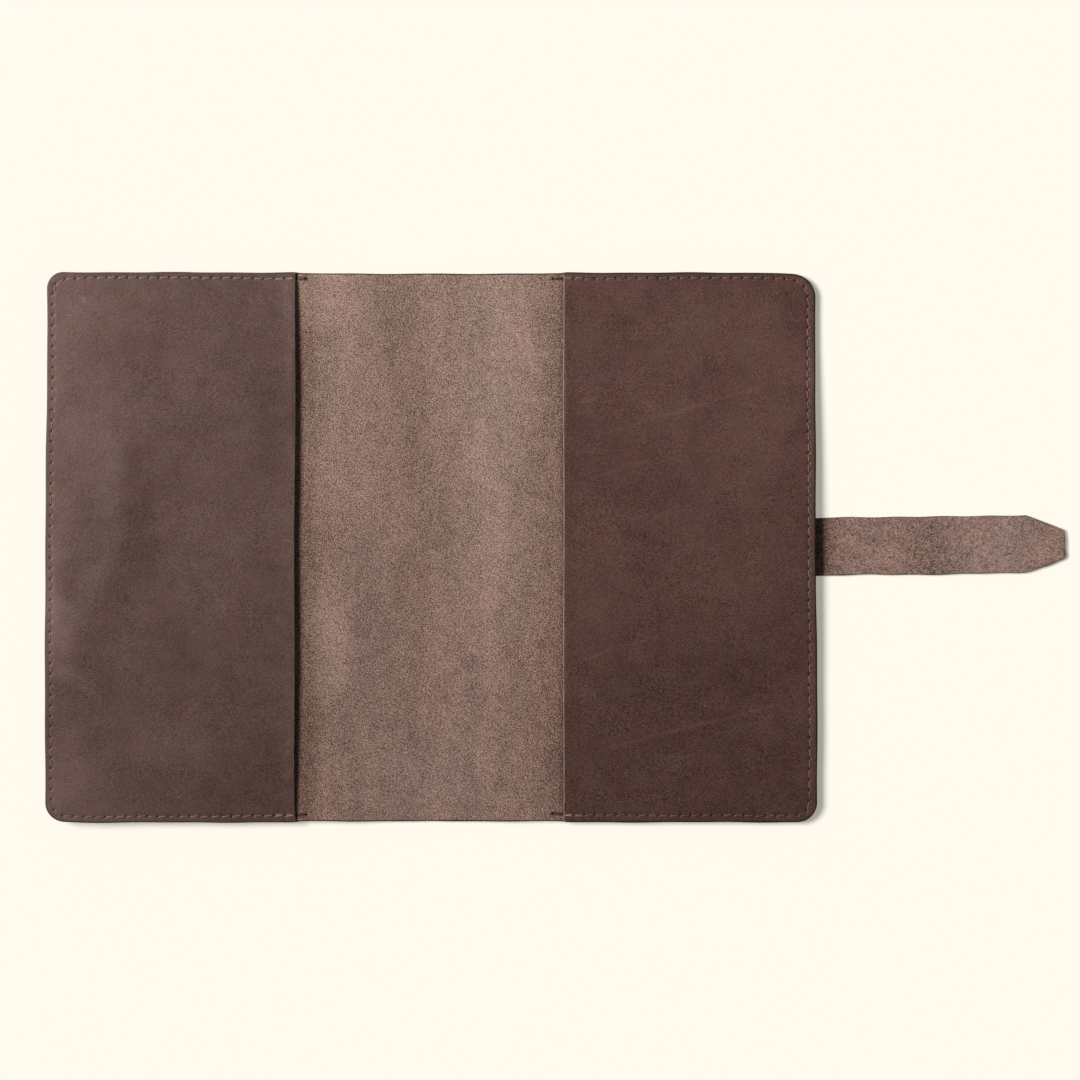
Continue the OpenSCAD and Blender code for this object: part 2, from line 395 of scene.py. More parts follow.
def plan_points(outline, depth, spacing, holes):
    """Points inside a sheet's plan: rings along its edge, needle holes, a lattice."""
    loop, normals, radius, _ = outline
    rings = []
    for inset in (radius + 0.13, *RING_INSETS):
        inset = np.broadcast_to(inset, len(loop))
        ring = loop - normals * inset[:, None]
        rings.append(ring[depth(*ring.T) > 0.93 * inset])
    rounds = [holes]
    for r in HOLE_RINGS:
        turn = np.radians(np.arange(0, 360, 60) + 100 * r)
        circle = r * np.stack([np.cos(turn), np.sin(turn)], axis=1)
        rounds.extend(holes + offset for offset in circle)
    around = np.concatenate(rounds)
    around = around[depth(*around.T) > EDGE_R + 0.15]
    low = loop.min(0)
    high = loop.max(0)
    xs = np.arange(low[0], high[0], spacing)
    ys = np.arange(low[1], high[1], spacing * LATTICE_ROW)
    grid = np.stack(np.meshgrid(xs, ys), axis=-1)
    grid[1::2, :, 0] += spacing / 2
    grid = grid.reshape(-1, 2)
    grid = grid[depth(*grid.T) > RING_INSETS[-1] + 0.45 * spacing]
    rings = np.concatenate(rings)
    rings = rings[nearest(rings, around) > HOLE_CLEARANCE]
    grid = grid[nearest(grid, around) > HOLE_CLEARANCE]
    return np.concatenate([rings, around, grid])


def add_attribute(mesh, name, kind, values):
    """Stores numbers on a mesh's points for its material to read."""
    attribute = mesh.attributes.new(name, kind, "POINT")
    key = "vector" if kind == "FLOAT_VECTOR" else "value"
    attribute.data.foreach_set(key, np.asarray(values, np.float32).ravel())


def make_object(name, points, faces, materials, face_materials):
    """A smooth-shaded mesh object from points in millimetres."""
    mesh = bpy.data.meshes.new(name)
    mesh.from_pydata((points * MM).tolist(), [], faces)
    for material in materials:
        mesh.materials.append(material)
    mesh.polygons.foreach_set("material_index", face_materials)
    mesh.polygons.foreach_set("use_smooth", [True] * len(mesh.polygons))
    mesh.update()
    piece = bpy.data.objects.new(name, mesh)
    bpy.context.scene.collection.objects.link(piece)
    return piece


def triangulated(rim_plan, inner):
    """Triangles over a sheet's plan: its points, the triangles, and the rim's points."""
    count = len(rim_plan)
    plan_in = [Vector(point) for point in np.concatenate([rim_plan, inner])]
    inside_only = 1
    made = delaunay_2d_cdt(plan_in, [], [list(range(count))], inside_only, 1e-5)
    plan = np.array([tuple(point) for point in made[0]])
    where = {i: k for k, origins in enumerate(made[3]) for i in origins}
    triangles = np.array(made[2])
    a, b, c = (plan[triangles[:, k]] for k in range(3))
    turn = (b - a)[:, 0] * (c - a)[:, 1] - (b - a)[:, 1] * (c - a)[:, 0]
    triangles[turn < 0] = triangles[turn < 0][:, ::-1]
    return plan, triangles, np.array([where[i] for i in range(count)])


def mark_sharp(mesh, flat, cut_at):
    """Makes the edges sharp where a piece meets its other half, at s = cut_at."""
    ends = np.zeros(2 * len(mesh.edges), int)
    mesh.edges.foreach_get("vertices", ends)
    at_cut = np.abs(flat[ends.reshape(-1, 2), 0] - cut_at).max(1) < 1e-3
    sharp = mesh.attributes.new("sharp_edge", "BOOLEAN", "EDGE")
    sharp.data.foreach_set("value", at_cut)


def leather_piece(
    name, outline, depth, top, bottom, place, materials,
    holes, seam=NO_POINTS, cut_at=None, spacing=2.2, edge=None,
):
    """A sheet of leather with rounded edges and needle holes, as a closed mesh.

    depth(s, v) is the distance from its outline. top and bottom give its faces'
    heights and place puts a flat-cut point in the row frame. At s = cut_at the piece
    meets its other half. edge(s, v) is the distance from the burnished edge, where that
    isn't the whole outline. seam is the line it is sewn along, and spacing is that of
    the mesh's points away from edges and holes."""
    x, y = outline.points.T
    if np.sum(x * np.roll(y, -1) - y * np.roll(x, -1)) < 0:
        outline = Outline(*(values[::-1] for values in outline))
    loop, normals, radius, finish = outline
    rounding = normals * radius[:, None]
    inner = plan_points(outline, depth, spacing, holes)
    plan, triangles, rim_index = triangulated(loop - rounding, inner)

    hole_gap = nearest(plan, holes)
    top_w = top(plan[:, 0], plan[:, 1], hole_gap)
    bottom_w = bottom(plan[:, 0], plan[:, 1], hole_gap)
    flat = [np.column_stack([plan, top_w]), np.column_stack([plan, bottom_w])]
    for level in WALL_LEVELS[1:-1]:
        spread = plan[rim_index] + rounding * wall_bulge(level)
        w = top_w[rim_index] * (1 - level) + bottom_w[rim_index] * level
        flat.append(np.column_stack([spread, w]))
    flat = np.concatenate(flat)

    n = len(plan)
    count = len(loop)
    loops = [rim_index]
    loops += [2 * n + k * count + np.arange(count) for k in range(len(WALL_LEVELS) - 2)]
    loops.append(rim_index + n)
    faces = triangles.tolist() + (triangles[:, ::-1] + n).tolist()
    face_materials = [0] * len(triangles) + [1] * len(triangles)
    for upper, lower in zip(loops[:-1], loops[1:]):
        quads = np.stack([upper, lower, np.roll(lower, -1), np.roll(upper, -1)], axis=1)
        faces += quads.tolist()
        face_materials += finish.tolist()

    piece = make_object(name, place(*flat.T), faces, materials, face_materials)
    mesh = piece.data
    flat_plan = flat[:, :2]
    add_attribute(mesh, "rest", "FLOAT_VECTOR", flat)
    add_attribute(mesh, "edge_mm", "FLOAT", (edge or depth)(*flat_plan.T))
    add_attribute(mesh, "hole_mm", "FLOAT", nearest(flat_plan, holes))
    add_attribute(mesh, "seam_mm", "FLOAT", nearest_on_line(*flat_plan.T, seam))
    if cut_at is not None:
        mark_sharp(mesh, flat, cut_at)
    return piece


def needle_dimple(hole_gap):
    """How far the leather is drawn in at a needle hole."""
    return HOLE_DEPTH * bell(hole_gap, HOLE_R)


def pressed_in(s, v, hole_gap, seam, depth, width):
    """How far a seam presses the leather in: dimples, and a groove between them."""
    return needle_dimple(hole_gap) + depth * bell(nearest_on_line(s, v, seam), width)


def even_edge(points, normals, radius):
    """An outline whose edge is the same all the way round."""
    count = len(points)
    return Outline(points, normals, np.full(count, radius), np.full(count, EDGE_FINISH))


def mirrored(side, points):
    """(p, v) points or normals as (s, v)."""
    return points * np.array([SIGN[side], 1])


def hide_loop(side):
    """Outline of half of the hide, cut straight at the middle of the spine."""
    points, normals = rim(side, 0)
    cut = straight((0, -HALF_H), (0, HALF_H), step=2.0)[1:]
    cut[:, 1] = np.interp(cut[:, 1], (-HALF_H, HALF_H), points[[-1, 0], 1])
    points = np.concatenate([points, cut])
    normals = np.concatenate([normals, np.zeros_like(cut)])
    return even_edge(mirrored(side, points), mirrored(side, normals), EDGE_R)


def hide_half(side, materials):
    """The outer hide from the middle of the spine to one fore-edge."""
    holes = mirrored(side, HOLES[side])
    box = [BACK_BOX_HOLES] if side == "back" else KEEPER_HOLES.values()

    def depth(s, v):
        return edge_depth(side, np.abs(s), v)

    def top(s, v, hole_gap):
        return -needle_dimple(hole_gap)

    def bottom(s, v, hole_gap):
        return pressed_in(s, v, hole_gap, holes, depth=0.12, width=0.7) - COVER_T

    return leather_piece(
        f"{side}_hide", hide_loop(side), depth, top, bottom, lay, materials,
        holes=np.concatenate([holes, *box]), seam=holes, cut_at=0.0,
    )


# ---- Pockets ------------------------------------------------------------------------

# Soft folds that the front pocket keeps from use, as crest lines of (p, v)
SOFT_FOLD = np.array([(129.0, 40.0), (128.6, -5.0), (150.0, -39.0)])
CORNER_FOLD = np.array([(156.0, -81.0), (127.0, -114.0)])


def soft_fold(p, v, crest, height, width):
    """Height of a soft fold along its crest line."""
    return height * bell(nearest_on_line(p, v, crest), width)


def pocket_under(side, p, v):
    """Height of a pocket's underside over the hide."""
    from_seam = edge_depth(side, p, v) - SEAM_INSET - 1.0
    from_mouth = p - MOUTH_P[side]
    raised = POCKET_GAP * smooth(from_seam / 42) ** 0.6
    lift = 0.22 + 0.22 * smooth((v - 70) / 30)
    curl = lift * bell(from_mouth, 4) * smooth((from_seam + 3) / 6)
    seed = 11 if side == "front" else 12
    slack = 0.2 * waves(p, v, seed, longest=74) * smooth(from_seam / 30)
    if side == "front":
        folds = soft_fold(p, v, SOFT_FOLD, height=0.6, width=8)
        folds = folds + soft_fold(p, v, CORNER_FOLD, height=0.35, width=6)
        slack = slack + folds * smooth(from_seam / 14)
    return raised + curl + slack


def pocket_outline(side):
    """A pocket's outline: its burnished edge, then its uneven cut mouth."""
    points, normals = rim(side, MOUTH_P[side])
    points = points - normals * 0.06
    mouth = straight(points[-1], points[0], step=1.1)[1:]
    uneven = 0.13 * np.sin(mouth[:, 1] / 17 + 1)
    if side == "front":
        uneven = uneven + 0.33 * smooth((40 - mouth[:, 1]) / 50)
    mouth[:, 0] += uneven * smooth((HALF_H - abs(mouth[:, 1])) / 9)
    normals[0] = (-1, 1)
    normals[-1] = (-1, -1)
    normals = np.concatenate([normals, np.tile([-1.0, 0.0], (len(mouth), 1))])
    loop = np.concatenate([points, mouth])
    last = len(points) - 1
    radius = np.full(len(loop), MOUTH_R)
    radius[1:last] = EDGE_R
    finish = np.full(len(loop), MOUTH_FINISH)
    finish[:last] = EDGE_FINISH
    return Outline(mirrored(side, loop), mirrored(side, normals), radius, finish)


def pocket(side, materials):
    """The leather of one pocket, sewn on three sides and open towards the spine."""
    holes = mirrored(side, HOLES[side][1:-1])

    def depth(s, v):
        p = np.abs(s)
        return np.minimum(edge_depth(side, p, v), p - MOUTH_P[side])

    def bottom(s, v, hole_gap):
        return pocket_under(side, np.abs(s), v)

    def top(s, v, hole_gap):
        drawn_in = pressed_in(s, v, hole_gap, holes, depth=0.08, width=0.75)
        return bottom(s, v, hole_gap) + POCKET_T - drawn_in

    def from_edge(s, v):
        return edge_depth(side, np.abs(s), v)

    return leather_piece(
        f"{side}_pocket_leather", pocket_outline(side), depth, top, bottom, lay,
        materials, holes=holes, seam=holes, spacing=1.9, edge=from_edge,
    )


# ---- Strap and keeper ---------------------------------------------------------------

TIP_TAPER = 16.5
TIP_HALF = 6.0
MID_WRAP_X = (LOWER_FOLD_X + UPPER_FOLD_X) / 2
STRAP_EDGE_R = 0.22  # its edges are cut and not rounded


def polygon_depth(corner_points):
    """A function for the distance from the sides of a convex polygon."""
    ahead = np.roll(corner_points, -1, axis=0) - corner_points
    inward = np.stack([-ahead[:, 1], ahead[:, 0]], axis=1)
    inward = inward / np.linalg.norm(inward, axis=1)[:, None]

    def depth(s, v):
        gaps = [(s - c[0]) * i[0] + (v - c[1]) * i[1] for c, i in zip(corner_points, inward)]
        return np.min(gaps, axis=0)

    return depth


def rounded_loop(corner_points, radii, step=1.0):
    """A convex polygon's outline, counter-clockwise, with round corners.

    A side that both its ends give a radius of None is a cut, with no outward normal."""
    ahead = np.roll(corner_points, -1, axis=0) - corner_points
    ahead = ahead / np.linalg.norm(ahead, axis=1)[:, None]
    outward = np.stack([ahead[:, 1], -ahead[:, 0]], axis=1)
    behind = np.roll(-ahead, 1, axis=0)
    opening = np.arccos(np.clip((behind * ahead).sum(1), -1, 1))
    back = np.array([r or 0.0 for r in radii]) / np.tan(opening / 2)
    points = []
    normals = []
    for i, here in enumerate(corner_points):
        following = (i + 1) % len(corner_points)
        is_cut = radii[i] is None and radii[following] is None
        if radii[i]:
            inward = (behind[i] + ahead[i]) / np.linalg.norm(behind[i] + ahead[i])
            middle = here + inward * radii[i] / math.sin(opening[i] / 2)
            start = math.atan2(outward[i - 1][1], outward[i - 1][0])
            for spin in np.linspace(start, start + math.pi - opening[i], 5):
                normals.append(np.array([math.cos(spin), math.sin(spin)]))
                points.append(middle + radii[i] * normals[-1])
        else:
            points.append(here)
            normals.append(outward[i] if radii[i - 1] is None else outward[i - 1])
        side_end = corner_points[following] - ahead[i] * back[following]
        for point in straight(here + ahead[i] * back[i], side_end, step)[1:]:
            points.append(point)
            normals.append(np.zeros(2) if is_cut else outward[i])
    return np.array(points), np.array(normals)


def strap_part(name, corner_points, radii, materials, holes):
    """Half of the strap, from one end to the middle of its wrap."""
    corner_points = np.array(corner_points, float)
    loop, normals = rounded_loop(corner_points, radii)
    uneven = 0.12 * np.sin(loop[:, 0] / 3.1 + loop[:, 1]) + 0.1 * np.sin(loop[:, 0] / 7.7)
    loop = loop + normals * (uneven * smooth((loop[:, 0] - LOWER_FOLD_X) / 9))[:, None]
    outline = even_edge(loop, normals, STRAP_EDGE_R)
    outline_depth = polygon_depth(corner_points)

    def depth(s, v):
        whole = np.minimum(STRAP_HALF - np.abs(v), s - STRAP_ROOT_X)
        taper = (STRAP_HALF - TIP_HALF) / TIP_TAPER
        slope = (TIP_HALF + (STRAP_END_X - s) * taper - np.abs(v)) / math.hypot(1, taper)
        return np.minimum(np.minimum(whole, slope), STRAP_END_X - s)

    def inside_cut(s, v):
        past_cut = 0.9  # the cut counts as an edge this much further on
        return np.minimum(depth(s, v), outline_depth(s, v) + past_cut)

    def top(s, v, hole_gap):
        return STRAP_T - needle_dimple(hole_gap)

    def bottom(s, v, hole_gap):
        return pressed_in(s, v, hole_gap, STRAP_HOLES, depth=0.45, width=0.6)

    return leather_piece(
        name, outline, inside_cut, top, bottom, lay_strap, materials,
        holes=holes, seam=holes, cut_at=MID_WRAP_X, spacing=1.5,
    )


def strap_lower(materials):
    """The strap from its sewn root to the middle of its wrap."""
    corner_points = [
        (STRAP_ROOT_X, -STRAP_HALF), (MID_WRAP_X, -STRAP_HALF),
        (MID_WRAP_X, STRAP_HALF), (STRAP_ROOT_X, STRAP_HALF),
    ]
    radii = [1.5, None, None, 1.5]
    return strap_part("strap_lower", corner_points, radii, materials, STRAP_HOLES)


def strap_upper(materials):
    """The strap from the middle of its wrap to its blunt tip."""
    taper_x = STRAP_END_X - TIP_TAPER
    corner_points = [
        (MID_WRAP_X, -STRAP_HALF), (taper_x, -STRAP_HALF), (STRAP_END_X + 0.3, -TIP_HALF),
        (STRAP_END_X - 0.3, TIP_HALF), (taper_x, STRAP_HALF), (MID_WRAP_X, STRAP_HALF),
    ]
    radii = [None, 30.0, 2.4, 1.2, 3.0, None]
    return strap_part("strap_upper", corner_points, radii, materials, NO_POINTS)


def keeper_arch(v):
    """Height of the keeper's inner face below the front cover's outside."""
    ramp = smooth((np.abs(v) - KEEPER_SPAN + 0.1) / 2.4)
    return KEEPER_GAP * (1 - ramp)


def keeper(materials):
    """The band on the outside of the front cover that the strap's tip tucks under."""
    low_s = -KEEPER_P - KEEPER_HALF
    high_s = -KEEPER_P + KEEPER_HALF
    corner_points = np.array(
        [(low_s, -KEEPER_END), (high_s, -KEEPER_END), (high_s, KEEPER_END), (low_s, KEEPER_END)]
    )
    loop, normals = rounded_loop(corner_points, radii=[1.6] * 4, step=0.8)
    holes = np.concatenate(list(KEEPER_HOLES.values()))

    def top(s, v, hole_gap):
        return -COVER_T - keeper_arch(v)

    def bottom(s, v, hole_gap):
        return top(s, v, hole_gap) - KEEPER_T + needle_dimple(hole_gap)

    return leather_piece(
        "keeper", even_edge(loop, normals, EDGE_R), polygon_depth(corner_points), top,
        bottom, lay, materials, holes=holes, spacing=1.0,
    )


# ---- Stitches -----------------------------------------------------------------------

THREAD_RINGS = 13
THREAD_SIDES = 6


def stitch_points(a, b, w, up, slant, shift, rise):
    """Surface points of one stitch's two plies, as (s, v, w), ring by ring."""
    length = np.linalg.norm(b - a)
    heading = math.atan2(*(b - a)[::-1]) + slant
    ahead = np.array([math.cos(heading), math.sin(heading)])
    side = np.array([-ahead[1], ahead[0], 0])
    middle = (a + b) / 2 + side[:2] * shift
    t = np.linspace(-1, 1, THREAD_RINGS)
    t = np.sign(t) * np.abs(t) ** 0.8
    reach = length / 2 - THREAD_SHORT
    drop = rise + THREAD_DIP
    height = rise - drop * np.abs(t) ** THREAD_DIVE
    slope = -drop * THREAD_DIVE * np.abs(t) ** (THREAD_DIVE - 1) * np.sign(t) / reach
    centre = np.zeros((THREAD_RINGS, 3))
    centre[:, :2] = middle + np.outer(t * reach, ahead)
    centre[:, 2] = w + up * height
    scale = 1 / np.hypot(1, slope)
    rising = np.stack([-slope * scale * ahead[0], -slope * scale * ahead[1], scale], axis=1)
    rising[:, 2] *= up
    turn = 2 * math.pi * (t + 1) * reach / PLY_TWIST
    around = 2 * math.pi * np.arange(THREAD_SIDES) / THREAD_SIDES
    found = []
    for ply in (0, math.pi):
        swing = turn + ply
        core = centre + PLY_OFFSET * (
            np.cos(swing)[:, None] * side + np.sin(swing)[:, None] * rising
        )
        for angle in around:
            out = math.cos(angle) * side + math.sin(angle) * rising
            found.append(core + PLY_R * out)
    return np.stack(found).reshape(2, THREAD_SIDES, THREAD_RINGS, 3)


def stitch_faces(flip):
    """Faces of one stitch: two closed tubes of THREAD_SIDES sides."""
    faces = []
    for ply in range(2):
        first = ply * THREAD_SIDES * THREAD_RINGS
        for i in range(THREAD_SIDES):
            here = first + i * THREAD_RINGS
            beside = first + (i + 1) % THREAD_SIDES * THREAD_RINGS
            for k in range(THREAD_RINGS - 1):
                faces.append((here + k, here + k + 1, beside + k + 1, beside + k))
        ends = [first + i * THREAD_RINGS for i in range(THREAD_SIDES)]
        faces.append(tuple(ends))
        faces.append(tuple(end + THREAD_RINGS - 1 for end in reversed(ends)))
    return [face[::-1] for face in faces] if flip else faces


def sew(name, stitches, up, place, material, seed):
    """Stitches as one mesh.

    Each is (a, b, w, tone, shift, lean): from hole a to hole b at height w, with its
    colour, how far it lies to the side, and its slant as a share of SLANT."""
    draw = random.Random(seed)
    points = []
    faces = []
    tones = []
    face_set = stitch_faces(up > 0)
    for a, b, w, tone, shift, lean in stitches:
        slant = up * SLANT * lean + math.radians(draw.uniform(-1.6, 1.6))
        rise = THREAD_RISE + draw.uniform(-0.04, 0.05)
        made = stitch_points(a, b, w, up, slant, shift + draw.uniform(-0.06, 0.06), rise)
        start = len(points) * made.size // 3
        faces += [tuple(start + i for i in face) for face in face_set]
        points.append(made.reshape(-1, 3))
        tones += [tone + draw.uniform(-0.14, 0.14)] * (made.size // 3)
    flat = np.concatenate(points)
    piece = make_object(name, place(*flat.T), faces, [material], [0] * len(faces))
    add_attribute(piece.data, "rest", "FLOAT_VECTOR", flat)
    add_attribute(piece.data, "tone", "FLOAT", tones)
    return piece


def thread_tone(side, p, v):
    """How golden the thread is there, from 0 for weathered and dark to 1."""
    on_fore_edge = smooth((p - REACH + 7) / 4)
    near_mouth = smooth((MOUTH_P[side] + 10 - p) / 8)
    if side == "back":
        return 0.3 + 0.22 * on_fore_edge + (0.5 if v < 0 else 0.15) * near_mouth
    return (0.66 if v > 0 else 0.58) * (1 - 0.1 * on_fore_edge) + 0.25 * near_mouth


def pocket_stitches(side, needle):
    """The stitches of a pocket's seam, on the pocket or on the outside of the hide."""
    holes = HOLES[side]
    flat = mirrored(side, holes)
    found = []
    last = len(holes) - 2
    for i in range(last + 1):
        on_flesh = i in (0, last)
        level = -0.02 if on_flesh else POCKET_T - 0.12
        w = level if needle else 0.1 - COVER_T
        p, v = (holes[i] + holes[i + 1]) / 2
        tone = 0.0 if on_flesh else thread_tone(side, p, v)
        found.append((flat[i], flat[i + 1], w, tone, 0.0, 1.0))
        if min(i, last - i) < SEWN_TWICE:  # the second lies beside it, leaning back
            found.append((flat[i], flat[i + 1], w + 0.05, tone, 0.36, -0.6))
    return found


def pocket_seam(side, needle, material):
    """One thread of a pocket's seam."""
    kind = "needle" if needle else "bobbin"
    seed = 40 + 2 * (side == "back") + needle
    stitches = pocket_stitches(side, needle)
    return sew(f"{side}_seam_{kind}", stitches, 1 if needle else -1, lay, material, seed)


def ring_stitches(holes, w, tone):
    """Stitches round a closed box of holes, whose last hole is its first."""
    pairs = zip(holes[:-1], holes[1:])
    return [(a, b, w, tone, 0.0, 1.0) for a, b in pairs]


# ---- Materials ----------------------------------------------------------------------


PALING = (0.87, 1.01, 1.11)  # paler leather is a little less red
DARKEST = -0.85  # no mark takes away more of the colour than this

# Leather colours as (dark, light, reddish)
OUTER_BROWNS = ((0.066, 0.038, 0.032), (0.096, 0.055, 0.046), (0.105, 0.05, 0.038))
FRONT_BROWNS = ((0.0877, 0.048, 0.0394), (0.1076, 0.0606, 0.0511), (0.117, 0.0549, 0.0441))
BACK_BROWNS = ((0.0763, 0.0367, 0.0292), (0.0966, 0.0484, 0.0387), (0.1098, 0.0416, 0.0311))
HIDE_FLESH = ((0.2165, 0.1454, 0.1168), (0.2555, 0.157, 0.1244), (0.2437, 0.1377, 0.1072))
STRAP_FLESH = ((0.239, 0.1582, 0.1303), (0.2725, 0.1664, 0.1368), (0.2599, 0.1461, 0.1156))

# Colours of the leather's edges, of the painted shade in its needle holes, and of the thread
OUTER_RIM = (0.03, 0.02, 0.017)
FRONT_RIM = (0.082, 0.055, 0.046)
BACK_RIM = (0.028, 0.018, 0.015)
FLESH_RIM = (0.06, 0.038, 0.03)
WORN_EDGE = (0.052, 0.036, 0.03)
BURNISHED_EDGE = (0.019, 0.012, 0.01)
MOUTH_EDGE = (0.2, 0.14, 0.12)
STRAP_EDGE = (0.13, 0.085, 0.07)
GRAIN_HOLE_SHADE = (0.01, 0.006, 0.005)
FLESH_HOLE_SHADE = (0.02, 0.012, 0.01)
WORN_THREAD = (0.075, 0.043, 0.031)
TAN_THREAD = (0.49, 0.3, 0.213)


class Graph:
    """A material's nodes, with short names for the ones used here."""

    def __init__(self, name):
        self.material = bpy.data.materials.new(name)
        self.material.use_nodes = True
        self.tree = self.material.node_tree
        self.tree.nodes.clear()
        self.shader = self.tree.nodes.new("ShaderNodeBsdfPrincipled")
        output = self.tree.nodes.new("ShaderNodeOutputMaterial")
        self.tree.links.new(self.shader.outputs[0], output.inputs[0])

    def put(self, socket, value):
        """Links a node's output to a socket, or sets it to a number or a colour."""
        if isinstance(value, bpy.types.NodeSocket):
            self.tree.links.new(value, socket)
        elif isinstance(value, tuple) and len(value) == 3 and socket.type == "RGBA":
            socket.default_value = (*value, 1)
        else:
            socket.default_value = value

    def node(self, kind, sockets, output=0, **settings):
        """One node's output. sockets gives the node's inputs by name or number."""
        node = self.tree.nodes.new("ShaderNode" + kind)
        for name, value in settings.items():
            setattr(node, name, value)
        for socket, value in sockets.items():
            self.put(node.inputs[socket], value)
        return node.outputs[output]

    def attribute(self, name, output="Fac"):
        """What the mesh stores under that name."""
        return self.node("Attribute", {}, output, attribute_name=name)

    def math(self, operation, a, b):
        """One Math node."""
        return self.node("Math", {0: a, 1: b}, operation=operation)

    def span(self, value, low, high, to_low=0.0, to_high=1.0):
        """Maps low..high smoothly to to_low..to_high."""
        sockets = dict(enumerate((value, low, high, to_low, to_high)))
        return self.node("MapRange", sockets, interpolation_type="SMOOTHSTEP")

    def stretched(self, vector, turn, scale):
        """Coordinates scaled, then turned about Z by so many degrees."""
        spin = (0, 0, math.radians(turn))
        return self.node("Mapping", {"Vector": vector, "Rotation": spin, "Scale": scale})

    def noise(self, vector, size, detail, roughness, distortion=0.0):
        """Noise whose features are about size millimetres wide."""
        numbers = {"Detail": detail, "Roughness": roughness, "Distortion": distortion}
        return self.node("TexNoise", {"Vector": vector, "Scale": 1 / size, **numbers})

    def cells(self, vector, size):
        """Voronoi distance for cells about size millimetres wide."""
        return self.node("TexVoronoi", {"Vector": vector, "Scale": 1 / size}, "Distance")

    def mix(self, factor, a, b):
        """Mixes two colours."""
        return self.node("Mix", {0: factor, 6: a, 7: b}, 2, data_type="RGBA")

    def brighten(self, colour, amount):
        """A colour times a number that varies over the surface."""
        return self.node("VectorMath", {0: colour, "Scale": amount}, operation="SCALE")

    def shade(self, colour, amounts):
        """A colour made paler or darker by a sum of shares. Paler is also greyer."""
        total = amounts[0]
        for amount in amounts[1:]:
            total = self.math("ADD", total, amount)
        change = self.brighten(PALING, self.math("MAXIMUM", total, DARKEST))
        sockets = {0: colour, 1: change, 2: colour}
        return self.node("VectorMath", sockets, operation="MULTIPLY_ADD")

    def swing(self, value, reach, spread=0.2):
        """A noise as a number between -reach and reach."""
        return self.span(value, 0.5 - spread, 0.5 + spread, -reach, reach)

    def spot(self, vector, middle, reach, strength=1.0, turn=0.0):
        """strength at a place (s, v), at any height, and 0 outside a turned ellipse."""
        sockets = {"Vector": vector, "Location": (*middle, 0), "Scale": (*reach, 1000)}
        sockets["Rotation"] = (0, 0, math.radians(turn))
        place = self.node("Mapping", sockets, vector_type="TEXTURE")
        distance = self.node("VectorMath", {0: place}, "Value", operation="LENGTH")
        return self.span(distance, 1.0, 0.0, 0.0, strength)

    def spots(self, vector, **places):
        """Several spots, each named and given as the rest of spot's values."""
        return [self.spot(vector, *place) for place in places.values()]

    def warped(self, vector, size, reach):
        """Coordinates pushed about by up to about reach."""
        push = self.node("TexNoise", {"Vector": vector, "Scale": 1 / size}, "Color")
        back = self.node("VectorMath", {0: vector, 1: (2 * reach,) * 3}, operation="SUBTRACT")
        sockets = {0: push, 1: (4 * reach,) * 3, 2: back}
        return self.node("VectorMath", sockets, operation="MULTIPLY_ADD")

    def bump(self, layers):
        """Bumps from (height, millimetres) pairs, the coarsest first."""
        normal = {}
        for height, depth in layers:
            sockets = {"Distance": depth * MM, "Height": height, **normal}
            normal = {"Normal": self.node("Bump", sockets)}
        self.put(self.shader.inputs["Normal"], normal["Normal"])

    def finish(self, colour, roughness, **constants):
        """Sets the shader. constants are its other inputs, with _ for each space."""
        self.put(self.shader.inputs["Base Color"], colour)
        self.put(self.shader.inputs["Roughness"], roughness)
        for name, value in constants.items():
            self.shader.inputs[name.replace("_", " ")].default_value = value
        return self.material


def no_marks(g, rest):
    """For leather that has no creases or rubbed places of its own."""
    return []


